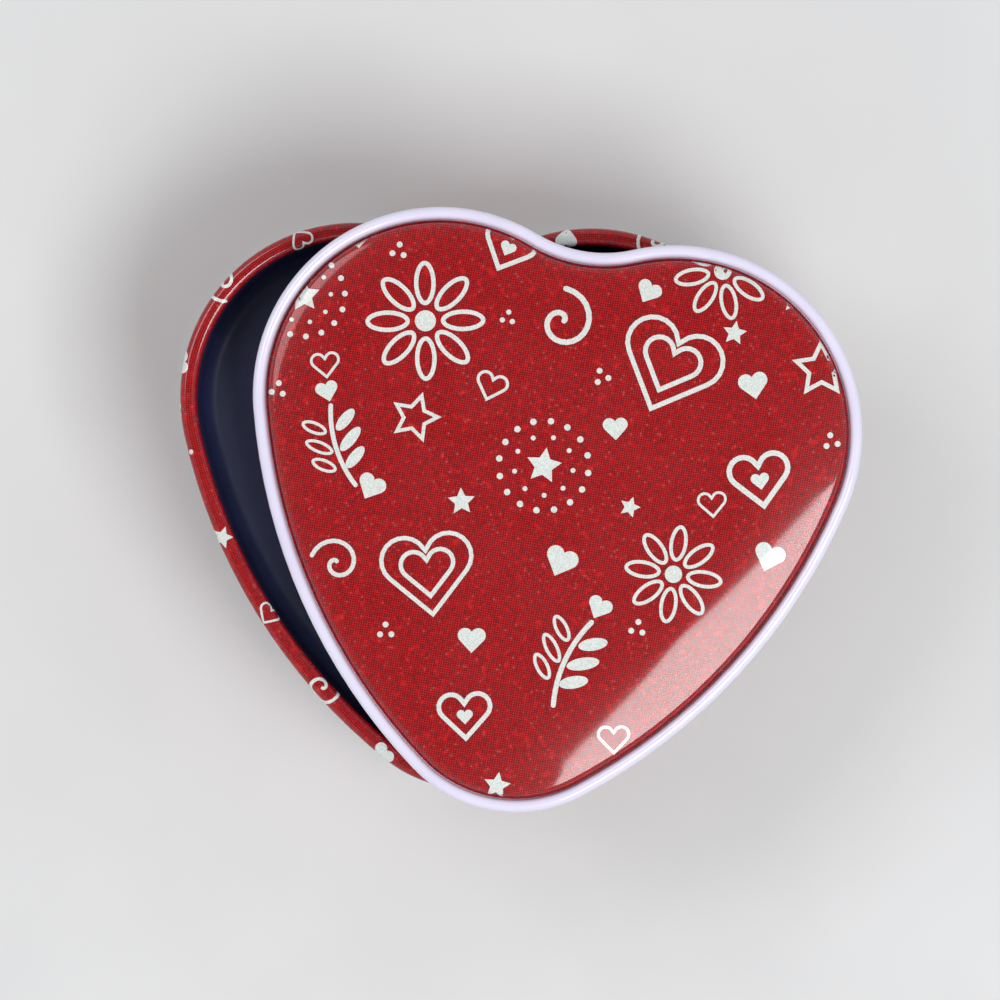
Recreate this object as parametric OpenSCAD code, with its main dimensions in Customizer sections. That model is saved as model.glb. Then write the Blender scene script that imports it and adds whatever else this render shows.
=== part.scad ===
// Wind-up music box in a heart-shaped tin: lift-off lid, printed body, inner tray and a
// cylinder movement wound by a key under the recessed bottom. All sizes are millimetres.

/* [Heart outline] */
// Half the distance between the centres of the two lobes
lobe_x = 22.1; // [21:0.1:23]
// Radius of each lobe at the outside of the body wall
lobe_r = 32.7; // [31.5:0.1:34]
// Radius of each long flank
side_r = 107.2; // [100:0.2:116]
// Radius of the point at the bottom of the heart
tip_r = 24.1; // [22:0.1:26]
// Distance from the line of the lobe centres down to the centre of the point
tip_drop = 48.5; // [46:0.5:51]
// Radius of the hollow between the lobes
cleft_r = 26.4; // [22:0.2:30]

/* [Body] */
// Height of the body to the top of its rolled rim
body_h = 46; // [41:0.5:54]
// Thickness of the tinplate
sheet = 0.4; // [0.3:0.05:0.5]
// Width of the rolled rim seen from above
rim_w = 3.2; // [2.8:0.1:3.6]
// Corner radius of the rolled rim, half its height
rim_r = 1.2; // [1:0.05:1.3]
// Length of sheet left flat under the roll
rim_tail = 0.9; // [0.6:0.1:1.2]
// Depth of the recess that hides the key
key_recess = 12; // [12:0.5:14]
// Height of the seam that grips the foot of the wall
seam_h = 2.6; // [2:0.1:4]

/* [Tray] */
// Thickness of the moulded tray
tray_t = 0.8; // [0.6:0.1:1]
// Air between the top of the movement and the underside of the tray
tray_air = 0.6; // [0.4:0.1:2]
// Lean of the tray wall, in degrees
tray_draft = 6; // [3:1:8]
// Radius between the tray wall and its floor
tray_fillet = 3; // [2:0.5:4]
// How far the tray wall is tucked under the rolled rim
tray_tuck = 0.3; // [0.2:0.1:0.6]

/* [Lid] */
// Clearance between the lid skirt and the body wall
lid_fit = 0.5; // [0.4:0.05:0.7]
// Height of the lid from its hem to the top of its bead
lid_h = 11.4; // [10:0.2:13]
// Radius of the bead round the lid
bead_r = 1.15; // [1.1:0.05:1.3]
// How far the centre of the bead stands out from the inside of the skirt
bead_set = 0.5; // [0.45:0.05:0.6]
// Radius of the rolled hem of the skirt
hem_r = 0.7; // [0.6:0.05:0.8]
// Depth of the panel ledge below the top of the bead
ledge_drop = 2; // [1.8:0.1:2.4]
// Width of the ledge that carries the printed panel
ledge_w = 2.75; // [2.5:0.05:3]
// Play between the rim and the flange of the printed panel
panel_play = 0.2; // [0.1:0.05:0.3]
// Width of the panel's flange outside its upright edge
panel_flange = 0.45; // [0.4:0.05:0.8]
// Radius of the shoulder of the domed panel
shoulder_r = 1.6; // [1.2:0.1:2]
// Height of the panel's upright edge below its shoulder
panel_rise = 0.3; // [0.2:0.05:0.6]
// Width over which the panel crowns before it runs flat
crown_w = 15; // [12:1:17]
// Offset of the resting lid to the right of the body
lid_shift_x = 15.8; // [12:0.2:18]
// Offset of the resting lid away from the cleft
lid_shift_y = 2.2; // [0:0.2:4]
// Turn of the resting lid, clockwise from above, in degrees
lid_turn = 7.9; // [5:0.1:10]

/* [Movement] */
// Place of the winding arbor to the left of the heart's middle line
arbor_left = 11; // [9:0.5:12]
// Place of the winding arbor below the line of the lobe centres
arbor_down = 15; // [13:0.5:17]
// Thickness of the cast bedplate
bed_t = 2; // [1.8:0.1:2.2]
// Height of the cylinder axis above the foot of the bedplate
axis_h = 11.2; // [11:0.1:11.4]
// Radius of the winding arbor
arbor_r = 2; // [1.8:0.1:2.2]
// Radius of the cylinder's and the second arbor's pivots
pivot_r = 1; // [0.9:0.05:1.1]
// Radius of the worm's pivots
small_pivot_r = 0.45; // [0.4:0.05:0.5]
// Air between neighbouring pieces that move past each other
air = 0.4; // [0.3:0.05:0.5]
// Thickness of the bearing posts
post_t = 1.8; // [1.6:0.1:2]
// Wall of a bearing post round its bore
post_wall = 1.2; // [1:0.1:1.3]
// Running clearance of every pivot in its bore
run_fit = 0.05; // [0.03:0.01:0.08]

/* [Screws] */
// Radius of the screw threads
screw_r = 1; // [0.9:0.05:1.1]
// Radius of the screw heads
head_r = 1.6; // [1.5:0.1:1.7]
// Height of the screw heads
head_h = 1.2; // [1:0.1:1.3]
// Width and depth of the slot in each head
slot_size = 0.5; // [0.4:0.05:0.6]
// Length of thread held in the casting
screw_grip = 3; // [2:0.5:3.5]

/* [Gears] */
// Width of the drive wheel's face teeth
face_w = 2.6; // [2.4:0.1:2.8]
// Width of the cylinder's train wheel
train_w = 1.4; // [1.2:0.1:1.6]
// Width of the worm wheel
worm_wheel_w = 1.2; // [1:0.1:1.4]

// Teeth of the face-toothed drive wheel
drive_teeth = 36; // [34:1:38]
// Teeth of the pinion on the cylinder
driven_teeth = 12; // [11:1:13]
// Module of the drive wheel and its pinion
drive_module = 0.6667; // [0.64:0.01:0.68]
// Teeth of the wheel at the far end of the cylinder
train_teeth = 36; // [34:1:36]
// Teeth of the pinion on the second arbor
second_teeth = 8; // [8:1:9]
// Module of the cylinder wheel and the second pinion
train_module = 0.4; // [0.38:0.01:0.4]
// Teeth of the worm wheel
worm_teeth = 16; // [15:1:16]
// Module of the worm wheel and the worm
worm_module = 0.5; // [0.48:0.01:0.52]

/* [Cylinder and comb] */
// Radius of the pinned drum
drum_r = 6.5; // [6.2:0.1:6.6]
// Wall of the drum
drum_wall = 0.8; // [0.6:0.1:1]
// Height of the pins above the drum
pin_h = 0.8; // [0.7:0.05:0.9]
// Radius of a pin
pin_r = 0.22; // [0.18:0.01:0.25]
// Number of notes, which is the number of comb teeth
notes = 18; // [16:1:18]
// Distance from one comb tooth to the next
note_pitch = 1; // [0.95:0.01:1.05]
// Pins in each track of the drum
pins_a_note = 5; // [4:1:6]
// Thickness of the comb
comb_t = 1; // [0.8:0.1:1.2]
// Length of the longest tooth, which gives the lowest note
bass_tooth = 15; // [13:0.5:16]
// Length of the shortest tooth
treble_tooth = 9; // [7:0.5:10]
// Width of the comb behind its teeth
comb_back = 6; // [5.4:0.2:7]

/* [Spring and governor] */
// Outer radius of the spring housing
housing_r = 10; // [9.8:0.1:10.1]
// Height of the spring housing
housing_h = 11; // [10.5:0.5:12]
// Thickness of the spring housing
housing_t = 0.8; // [0.6:0.1:1]
// Turns of the mainspring
spring_turns = 6; // [5:1:6]
// Thickness of the mainspring's strip
spring_t = 0.3; // [0.25:0.05:0.35]
// Radius that the air brake sweeps
brake_r = 4.6; // [4:0.1:4.8]
// Height of the air brake
brake_h = 4.7; // [4:0.1:5]
// Radius of the worm over its thread
worm_r = 1.7; // [1.6:0.05:1.7]

/* [Key] */
// Span of the two wings of the key
key_span = 19; // [17:0.5:21]
// Height of the key wings
key_h = 7.6; // [7:0.2:8]
// Thickness of the key wings
key_t = 1.3; // [1.1:0.1:1.6]

/* [Hidden] */
$fn = 48;

// Colours
red = [0.63, 0.11, 0.12];
lavender = [0.84, 0.82, 0.92];
navy = [0.12, 0.13, 0.2];
tin = [0.78, 0.78, 0.8];
zinc = [0.62, 0.63, 0.65];
brass = [0.8, 0.63, 0.3];
steel = [0.5, 0.52, 0.56];
nylon = [0.92, 0.91, 0.86];

// Heart geometry: every outline is the same four arcs, moved in or out by one distance
lobe_centre = [lobe_x, 0];
tip_centre = [0, -tip_drop];
span = norm(tip_centre - lobe_centre);
reach_lobe = side_r - lobe_r;
reach_tip = side_r - tip_r;
along = (pow(reach_lobe, 2) - pow(reach_tip, 2) + pow(span, 2)) / (2 * span);
across = sqrt(pow(reach_lobe, 2) - pow(along, 2));
toward_tip = (tip_centre - lobe_centre) / span;
side_centre = lobe_centre + toward_tip * along + [toward_tip[1], -toward_tip[0]] * across;
cleft_centre = [0, sqrt(pow(cleft_r + lobe_r, 2) - pow(lobe_x, 2))];
cleft_end = angle_of(lobe_centre - cleft_centre);
lobe_end = cleft_end + 180;
side_end = angle_of(lobe_centre - side_centre);
tip_end = angle_of(tip_centre - side_centre);

// Levels of the case
rim_top = body_h;
rim_under = body_h - 2 * rim_r;
plate_top = key_recess + sheet;
play = 0.1;
seat_gap = 0.3;
over = 1;
recess_x = -sheet - play;

// Levels of the lid, from its hem
ledge_z = lid_h - ledge_drop;
bead_x = lid_fit + bead_set;
leg_x = bead_x - bead_r;
panel_z = ledge_z + sheet;
panel_edge_x = leg_x - panel_play;
panel_foot_x = panel_edge_x - panel_flange;
shoulder_end = 80;
panel_wall_z = panel_z + sheet + panel_rise;
crown_x = panel_foot_x - shoulder_r * (1 - cos(shoulder_end));
crown_z = panel_wall_z + shoulder_r * sin(shoulder_end);
crown_top = crown_z + crown_w * (1 - sin(shoulder_end)) / cos(shoulder_end);
lid_rest_z = rim_top + seat_gap;

// The frame's origin is the middle of the resting outline, seen from above
lid_out = bead_x + bead_r;
lid_lobe = [lobe_x * cos(lid_turn), lobe_x * sin(lid_turn)];
lid_tip_y = tip_drop * cos(lid_turn);
wall_out = sheet + play;
x_low = -lobe_x - lobe_r - wall_out;
x_high = lid_shift_x + lid_lobe[0] + lobe_r + lid_out;
y_low = -lid_shift_y - lid_tip_y - tip_r - lid_out;
y_high = -lid_shift_y + lid_lobe[1] + lobe_r + lid_out;
origin_shift = [-(x_low + x_high) / 2, -(y_low + y_high) / 2, 0];

// Movement: origin on the arbor axis at the foot of the bedplate, cylinder along +x
drive_pitch_r = drive_teeth * drive_module / 2;
driven_pitch_r = driven_teeth * drive_module / 2;
drive_out_r = drive_pitch_r + face_w / 2;
drive_in_r = drive_pitch_r - face_w / 2;
left_post_x = drive_out_r + air;
drum_x = left_post_x + post_t + air;
comb_w = notes * note_pitch;
drum_l = comb_w + 0.5;
train_x = drum_x + drum_l + air;
right_post_x = train_x + train_w + air;
train_pitch_r = train_teeth * train_module / 2;
second_pitch_r = second_teeth * train_module / 2;
second_down = 3;
second_z = axis_h - second_down;
second_y = -sqrt(pow(train_pitch_r + second_pitch_r, 2) - pow(second_down, 2));
second_turn = atan2(second_down, -second_y);
second_half = pivot_r + 0.75 * post_wall;
worm_wheel_r = worm_teeth * worm_module / 2;
worm_pitch_r = worm_r - 0.8 * worm_module;
worm_core_r = worm_r - 1.6 * worm_module;
worm_wheel_x = right_post_x + post_t + 1.75 * air;
worm_x = worm_wheel_x + worm_wheel_w / 2;
worm_y = second_y - worm_wheel_r - worm_pitch_r;
worm_lead = PI * worm_module;
worm_turns = 4;
end_plate_x = worm_wheel_x + worm_wheel_w + 2 * air;
end_plate_t = 1.6;
foot_t = 1.2;
foot_x0 = right_post_x + post_t + air;
foot_x1 = end_plate_x + end_plate_t;
foot_screw_x = (foot_x0 + foot_x1) / 2;
arm_post_w = 2;
arm_post_y = worm_y - brake_r - 1.5 * air - arm_post_w;
foot_y0 = arm_post_y - 2 * head_r - 2 * air;
foot_y1 = air / 2;
foot_screw_y = [foot_y0 + head_r + air, foot_y1 - head_r - air];
arm_t = 1;
brake_z0 = second_z + worm_wheel_r + worm_module + air;
brake_z1 = brake_z0 + brake_h;
brake_hub_r = 1.3;
brake_t = 0.5;
arm_top = brake_z1 + air + arm_t;

// Tray, from the top of the movement up to the underside of the rim
tray_floor_z = plate_top + arm_top + tray_air + tray_t;
tray_flange_z = rim_under - play;
tray_wall_x = rim_w - tray_tuck;

// Comb and its pedestal
comb_tip_y = drum_r + pin_h + 0.75 * air;
comb_x = drum_x + (drum_l - comb_w) / 2;
comb_end_y = comb_tip_y + bass_tooth + comb_back;
comb_z = axis_h - comb_t / 2;
pedestal_y = comb_tip_y + bass_tooth + air;
slot_w = 0.16;
weighted_notes = 6;
weight_l = 2.6;
comb_screw_y = pedestal_y + (comb_back - air) / 2;
comb_screw_x = [comb_x + comb_w * 0.22, comb_x + comb_w * 0.78];

// Drive wheel, clutch, spring and housing
wheel_z = bed_t + air;
drive_add = 0.75 * drive_module;
drive_ded = 0.975 * drive_module;
tooth_root_z = axis_h - driven_pitch_r - drive_ded;
web_t = 2;
web_z1 = wheel_z + web_t;
hub_r = arbor_r + 1.6;
hub_z1 = web_z1 + web_t / 2;
collar_z0 = hub_z1 + play;
collar_z1 = collar_z0 + 2.8;
clutch_wire = 0.6;
clutch_turns = 5;
housing_z0 = web_z1 + 1.5 * air;
housing_z1 = housing_z0 + housing_h;
core_r = hub_r - 0.6;
spring_z0 = collar_z1 + air;
spring_z1 = housing_z1 - housing_t - air;
spring_in_r = core_r + 0.75 * air;
spring_out_r = housing_r - housing_t - spring_t;
top_pivot_r = 0.6 * arbor_r;
pillar_r = 2.2;
pillar_at = drive_out_r + pillar_r + air;
pillar_angles = [100, 180, 260];
pillar_top = housing_z1 - housing_t;

// Key, below the bottom plate
key_top = -sheet - 1.5 * air;
key_hub_r = arbor_r + 1.2;
key_drop = 1.8;
key_waist = 0.62 * key_h;
key_hub_h = key_drop + (key_h - key_waist) / 2 + 0.5;
key_pierced = 2;

// Bedplate outline and its screws to the bottom plate
bed_x0 = -pillar_at - pillar_r - air;
bed_x1 = foot_x1 + air;
bed_y0 = min(foot_y0 - air, -pillar_at - pillar_r);
bed_y1 = comb_end_y + air;
bed_step_x = drum_x - 6;
bed_step_y = pillar_at + pillar_r;
bed_corner_r = 2.5;
bed_screw_in = 2 * head_r;
bed_screw_at = [[bed_x0 + bed_screw_in, bed_y0 + bed_screw_in],
                [bed_x0 + bed_screw_in, bed_step_y - bed_screw_in],
                [bed_step_x + bed_screw_in, bed_y1 - bed_screw_in]];

function direction(a) = [cos(a), sin(a)];
function angle_of(v) = atan2(v[1], v[0]);
function arc(c, r, from, to, n = 8) =
    [for (i = [0 : n]) c + r * direction(from + (to - from) * i / n)];
function backwards(list) = [for (i = [len(list) - 1 : -1 : 0]) list[i]];

// Stations down the right half of the heart: centre, radius, sense of the curve and angle
function stations(c, r, sense, from, to, n) =
    [for (i = [0 : n - 1]) [c, r, sense, from + (to - from) * i / n]];
right_half = concat(
    stations(cleft_centre, cleft_r, -1, -90, cleft_end, 4),
    stations(lobe_centre, lobe_r, 1, lobe_end, side_end, 16),
    stations(side_centre, side_r, 1, side_end, tip_end, 8),
    stations(tip_centre, tip_r, 1, tip_end, -90, 5),
    [[tip_centre, tip_r, 1, -90]]);
function station_point(s, d) = s[0] + (s[1] + s[2] * d) * direction(s[3]);

// The whole outline moved out by d, clockwise from the cleft
function heart(d) = concat(
    [for (s = right_half) station_point(s, d)],
    [for (i = [len(right_half) - 2 : -1 : 1])
        let (p = station_point(right_half[i], d))
        [-p[0], p[1]]]);

// Outline of a gear with one tooth on +x, cut a little thin so that it runs with backlash
module gear(n, size, add = 0.7, ded = 1.1, thick = 1.22, slope = 20)
    polygon([for (i = [0 : n - 1], side = [-1, 1], high = side < 0 ? [-ded, add] : [add, -ded])
        let (r = size * (n / 2 + high),
             half = size * (thick / 2 - high * tan(slope)))
        r * direction(360 * i / n + side * half / r * 180 / PI)]);

// A plain round hole or pin along z, run past both ends where it cuts
module bore(r, z0, z1) translate([0, 0, z0 - over]) cylinder(r = r, h = z1 - z0 + 2 * over);

// A flat heart-shaped plate, its edge moved out by d
module heart_plate(d, z, t)
    translate([0, 0, z])
        linear_extrude(t)
            polygon(heart(d));

// An upright heart-shaped ring between two outlines
module heart_ring(outer, inner, z0, z1)
    translate([0, 0, z0])
        linear_extrude(z1 - z0)
            difference() {
                polygon(heart(outer));
                polygon(heart(inner));
            }

// A bent sheet carried round the whole heart, its section a ring or, with dish, a bowl
// whose first and last corners are closed by flat floors
module heart_sheet(section, dish = false) {
    count = len(heart(0));
    m = len(section);
    rings = [for (p = section) [for (q = heart(p[0])) [q[0], q[1], p[1]]]];
    points = [for (i = [0 : count - 1], k = [0 : m - 1]) rings[k][i]];
    sides = [for (i = [0 : count - 1], k = [0 : m - (dish ? 2 : 1)])
        let (n = (k + 1) % m, p = i * m, q = (i + 1) % count * m)
        for (f = [[p + k, q + k, q + n], [p + k, q + n, p + n]]) f];
    floors = [[for (i = [count - 1 : -1 : 0]) i * m],
              [for (i = [0 : count - 1]) i * m + m - 1]];
    polyhedron(points, concat(sides, dish ? floors : []));
}

module in_case() translate(origin_shift) children();

module in_lid()
    in_case()
        translate([lid_shift_x, -lid_shift_y, lid_rest_z])
            rotate([0, 0, -lid_turn])
                children();

module in_movement()
    in_case()
        translate([-arbor_left, -arbor_down, plate_top])
            children();

// ---- Case ----

// Paths of each sheet's section, on the face o in from its skin; x is out from the wall
function band_path(o) = concat(
    [[-o, sheet + play]],
    arc([-rim_r, rim_top - rim_r], rim_r - o, 0, 90, 5),
    arc([rim_r - rim_w, rim_top - rim_r], rim_r - o, 90, 270, 8),
    [[rim_r - rim_w + rim_tail, rim_under + o]]);

function section(skin, back) = concat(skin, backwards(back));

module body_band()
    color(red)
        in_case()
            heart_sheet(section(band_path(0), band_path(sheet)));

module bottom_plate()
    color(tin)
        in_case()
            difference() {
                union() {
                    heart_ring(wall_out, recess_x - sheet, 0, sheet);
                    heart_ring(wall_out, play, 0, seam_h);
                    heart_ring(recess_x, recess_x - sheet, 0, plate_top);
                    heart_plate(recess_x, key_recess, sheet);
                }
                translate([-arbor_left, -arbor_down, 0]) {
                    bore(arbor_r + 1.5 * air, key_recess, plate_top);
                    for (p = bed_screw_at)
                        translate(p)
                            bore(screw_r + play, key_recess, plate_top);
                }
            }

tray_line_z = tray_floor_z + tray_fillet * (1 - sin(tray_draft));
tray_line_x = -tray_wall_x - (tray_flange_z - tray_line_z) * tan(tray_draft);
tray_curve = [tray_line_x - tray_fillet * cos(tray_draft), tray_floor_z + tray_fillet];

function tray_path(o) = concat(
    [[-sheet - play, tray_flange_z - o]],
    [[-tray_wall_x + o * tan(45 - tray_draft / 2), tray_flange_z - o]],
    arc(tray_curve, tray_fillet + o, -tray_draft, -90, 6));

module inner_tray()
    color(navy)
        in_case()
            heart_sheet(concat(backwards(tray_path(tray_t)), tray_path(0)), dish = true);

// ---- Lid ----

// Angle at which the bead's arc meets the skirt
function bead_start(o) = -acos((lid_fit + sheet - o - bead_x) / (bead_r - o));

function rim_path(o) = concat(
    arc([lid_fit + hem_r, hem_r], hem_r - sheet + o, 430, 180, 7),
    arc([bead_x, lid_h - bead_r], bead_r - o, bead_start(o), 180, 11),
    [[leg_x + o, panel_z - o], [leg_x - ledge_w, panel_z - o]]);

module lid_rim()
    color(lavender)
        in_lid()
            heart_sheet(section(rim_path(0), rim_path(sheet)));

crown_r = crown_w / cos(shoulder_end);

// From the edge up over the shoulder and across the crown
function panel_path(o) = concat(
    [[panel_edge_x, panel_z + sheet - o], [panel_foot_x - o, panel_z + sheet - o]],
    arc([panel_foot_x - shoulder_r, panel_wall_z], shoulder_r - o, 0, shoulder_end, 6),
    arc([crown_x - crown_w, crown_top - crown_r], crown_r - o, shoulder_end + 2, 90, 4));

module lid_panel()
    color(red)
        in_lid()
            heart_sheet(concat(backwards(panel_path(sheet)), panel_path(0)), dish = true);

// ---- Movement frame ----

module rounded_box(low, high, z0, z1, r)
    translate([0, 0, z0])
        linear_extrude(z1 - z0) {
            for (x = [low[0] + r, high[0] - r], y = [low[1] + r, high[1] - r])
                translate([x, y])
                    circle(r);
            translate([low[0] + r, low[1]])
                square([high[0] - low[0] - 2 * r, high[1] - low[1]]);
            translate([low[0], low[1] + r])
                square([high[0] - low[0], high[1] - low[1] - 2 * r]);
        }

// A bearing post with a round head, its bore along x
module bearing_post(x, t, y, z, half, bore_r)
    difference() {
        union() {
            translate([x, y - half, bed_t])
                cube([t, 2 * half, z - bed_t]);
            translate([x, y, z])
                rotate([0, 90, 0])
                    cylinder(r = half, h = t);
        }
        translate([x, y, z])
            rotate([0, 90, 0])
                bore(bore_r + run_fit, 0, t);
    }

module bedplate()
    color(zinc)
        in_movement() {
            difference() {
                union() {
                    rounded_box([bed_x0, bed_y0], [bed_x1, bed_step_y], 0, bed_t, bed_corner_r);
                    rounded_box([bed_step_x, 0], [bed_x1, bed_y1], 0, bed_t, bed_corner_r);
                    translate([comb_x - air, pedestal_y, 0])
                        cube([comb_w + 2 * air, comb_back - air, comb_z]);
                    for (a = pillar_angles)
                        translate(pillar_at * direction(a))
                            cylinder(r = pillar_r, h = pillar_top);
                }
                bore(arbor_r + run_fit, 0, bed_t);
                for (p = bed_screw_at)
                    translate(p)
                        bore(screw_r, 0, bed_t);
                for (x = comb_screw_x)
                    translate([x, comb_screw_y])
                        bore(screw_r, comb_z - screw_grip, comb_z);
                for (a = pillar_angles)
                    translate(pillar_at * direction(a))
                        bore(screw_r, pillar_top - screw_grip, pillar_top);
                for (y = foot_screw_y)
                    translate([foot_screw_x, y])
                        bore(screw_r, 0, bed_t);
            }
            bearing_post(left_post_x, post_t, 0, axis_h, pivot_r + post_wall, pivot_r);
            bearing_post(right_post_x, post_t, 0, axis_h, pivot_r + post_wall, pivot_r);
            bearing_post(right_post_x, post_t, second_y, second_z, second_half, pivot_r);
        }

// A slotted cheese-head screw with its head up at the origin
module screw(shank_l)
    difference() {
        union() {
            cylinder(r = head_r, h = head_h);
            translate([0, 0, -shank_l])
                cylinder(r = screw_r - run_fit, h = shank_l);
        }
        translate([-head_r, -slot_size / 2, head_h - slot_size])
            cube([2 * head_r, slot_size, over]);
    }

module bedplate_screws()
    color(steel)
        in_movement()
            for (p = bed_screw_at)
                translate([p[0], p[1], -sheet])
                    rotate([180, 0, 0])
                        screw(sheet + bed_t - play);

// ---- Winding side ----

// Outline of one face tooth, its foot a little below the root
module face_tooth() {
    foot = 0.93 * drive_module;
    tip = 0.3 * drive_module;
    tall = drive_add + drive_ded + 2 * play;
    polygon([[-foot, 0], [-tip, tall], [tip, tall], [foot, 0]]);
}

module drive_wheel()
    color(brass)
        in_movement()
            difference() {
                union() {
                    translate([0, 0, wheel_z])
                        cylinder(r = drive_out_r, h = web_z1 - wheel_z);
                    translate([0, 0, wheel_z])
                        cylinder(r = hub_r, h = hub_z1 - wheel_z);
                    difference() {
                        translate([0, 0, wheel_z])
                            cylinder(r = drive_out_r, h = tooth_root_z - wheel_z);
                        bore(drive_in_r, web_z1 + over, tooth_root_z);
                    }
                    for (i = [0 : drive_teeth - 1])
                        rotate([0, 0, 360 * i / drive_teeth])
                            translate([drive_in_r, 0, tooth_root_z - 2 * play])
                                rotate([90, 0, 90])
                                    linear_extrude(face_w)
                                        face_tooth();
                }
                bore(arbor_r + run_fit, wheel_z, hub_z1);
            }

// Faces of a tube of rings, each ring with the same number of corners, closed at both ends
function tube_faces(count, sides) = concat(
    [[for (k = [sides - 1 : -1 : 0]) k]],
    [for (i = [0 : count - 1], k = [0 : sides - 1])
        let (n = (k + 1) % sides, p = i * sides, q = p + sides)
        for (f = [[p + k, q + n, q + k], [p + k, p + n, q + n]]) f],
    [[for (k = [0 : sides - 1]) count * sides + k]]);

// A round wire swept through points computed along a helix
module wire_coil(coil_r, wire, turns, z0, steps = 14, sides = 6) {
    count = round(turns * steps);
    rings = [for (i = [0 : count])
        let (a = 360 * i / steps)
        for (k = [0 : sides - 1])
            let (b = 360 * k / sides, r = coil_r + wire / 2 * cos(b))
            [r * cos(a), r * sin(a), z0 + wire / 2 + wire * 1.03 * i / steps
             + wire / 2 * sin(b)]];
    polyhedron(rings, tube_faces(count, sides));
}

module clutch_spring()
    color(steel)
        in_movement()
            wire_coil(hub_r + clutch_wire / 2 + play, clutch_wire, clutch_turns,
                      web_z1 + play);

module spring_housing()
    color(tin)
        in_movement()
            difference() {
                union() {
                    difference() {
                        translate([0, 0, housing_z0])
                            cylinder(r = housing_r, h = housing_z1 - housing_z0);
                        bore(housing_r - housing_t, housing_z0, pillar_top - over);
                    }
                    for (a = pillar_angles)
                        rotate([0, 0, a])
                            translate([0, 0, pillar_top]) {
                                translate([pillar_at, 0])
                                    cylinder(r = pillar_r, h = housing_t);
                                translate([pillar_at / 2, -pillar_r])
                                    cube([pillar_at / 2, 2 * pillar_r, housing_t]);
                            }
                }
                bore(top_pivot_r + run_fit, pillar_top, housing_z1);
                for (a = pillar_angles)
                    translate(pillar_at * direction(a))
                        bore(screw_r + play, pillar_top, housing_z1);
            }

module housing_screws()
    color(steel)
        in_movement()
            for (a = pillar_angles)
                translate(concat(pillar_at * direction(a), housing_z1))
                    screw(housing_t + screw_grip);

spring_steps = 24;
function spiral(o) =
    [for (i = [0 : spring_turns * spring_steps])
        let (u = i / (spring_turns * spring_steps))
        (spring_in_r + (spring_out_r - spring_in_r) * u + o)
        * direction(360 * i / spring_steps)];

module mainspring()
    color(steel)
        in_movement()
            translate([0, 0, spring_z0])
                linear_extrude(spring_z1 - spring_z0)
                    polygon(concat(spiral(0), backwards(spiral(spring_t))));

module winding_arbor()
    color(steel)
        in_movement() {
            translate([0, 0, key_top - key_drop])
                cylinder(r = arbor_r, h = collar_z0 - key_top + key_drop);
            translate([0, 0, collar_z0])
                cylinder(r = hub_r, h = collar_z1 - collar_z0);
            translate([0, 0, collar_z1])
                cylinder(r = core_r, h = pillar_top - air - collar_z1);
            translate([0, 0, collar_z1])
                cylinder(r = top_pivot_r, h = housing_z1 - collar_z1 + air);
        }

// Outline of the key wings: two pierced lobes joined by a waist
module key_outline() {
    wing_r = key_h / 2;
    wing_x = key_span / 2 - wing_r;
    difference() {
        union() {
            for (side = [-1, 1])
                translate([side * wing_x, 0])
                    circle(wing_r);
            square([2 * wing_x, key_waist], center = true);
        }
        for (side = [-1, 1])
            translate([side * wing_x, 0])
                circle(wing_r - key_pierced);
    }
}

module winding_key()
    color(brass)
        in_movement() {
            difference() {
                translate([0, 0, key_top - key_hub_h])
                    cylinder(r = key_hub_r, h = key_hub_h);
                bore(arbor_r, key_top - key_drop + over, key_top);
            }
            translate([0, key_t / 2, key_top - key_drop - key_h / 2])
                rotate([90, 0, 0])
                    linear_extrude(key_t)
                        key_outline();
        }

// ---- Cylinder ----

module along_x(x, y = 0, z = axis_h) translate([x, y, z]) rotate([90, 0, 90]) children();

module cylinder_drum()
    color(brass)
        in_movement()
            along_x(drum_x)
                difference() {
                    cylinder(r = drum_r, h = drum_l);
                    difference() {
                        bore(drum_r - drum_wall, drum_wall + over, drum_l);
                        bore(pivot_r + post_wall, 0, drum_l);
                    }
                    bore(pivot_r, 0, drum_l);
                }

// Angle of one pin: evenly spread in its track, shifted note by note to make a tune
function pin_angle(note, k) = 360 * k / pins_a_note + 97 * note + 21 * sin(67 * note + 131 * k);

module cylinder_pins()
    color(steel)
        in_movement()
            for (note = [0 : notes - 1], k = [0 : pins_a_note - 1])
                along_x(comb_x + (note + 0.5) * note_pitch)
                    rotate([0, 0, pin_angle(note, k)])
                        translate([drum_r, 0, 0])
                            rotate([0, 90, 0])
                                cylinder(r = pin_r, h = pin_h, $fn = 16);

module cylinder_arbor()
    color(steel)
        in_movement()
            along_x(drive_in_r + play)
                cylinder(r = pivot_r, h = right_post_x + post_t - drive_in_r);

module cylinder_pinion()
    color(nylon)
        in_movement()
            along_x(drive_in_r + air / 2)
                difference() {
                    linear_extrude(face_w - air)
                        rotate(-90 + 180 / driven_teeth)
                            gear(driven_teeth, drive_module);
                    bore(pivot_r, 0, face_w);
                }

module cylinder_wheel()
    color(nylon)
        in_movement()
            along_x(train_x)
                difference() {
                    linear_extrude(train_w)
                        rotate(180 + second_turn)
                            gear(train_teeth, train_module);
                    bore(pivot_r, 0, train_w);
                }

// ---- Comb ----

function tooth_length(note) = bass_tooth + (treble_tooth - bass_tooth) * note / (notes - 1);

module comb()
    color(steel)
        in_movement()
            translate([comb_x, comb_tip_y, comb_z])
                difference() {
                    cube([comb_w, bass_tooth + comb_back, comb_t]);
                    for (note = [1 : notes - 1])
                        translate([note * note_pitch - slot_w / 2, -over, -over])
                            cube([slot_w, tooth_length(note) + over, comb_t + 2 * over]);
                    for (x = comb_screw_x)
                        translate([x - comb_x, comb_screw_y - comb_tip_y])
                            bore(screw_r + play, 0, comb_t);
                }

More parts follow.
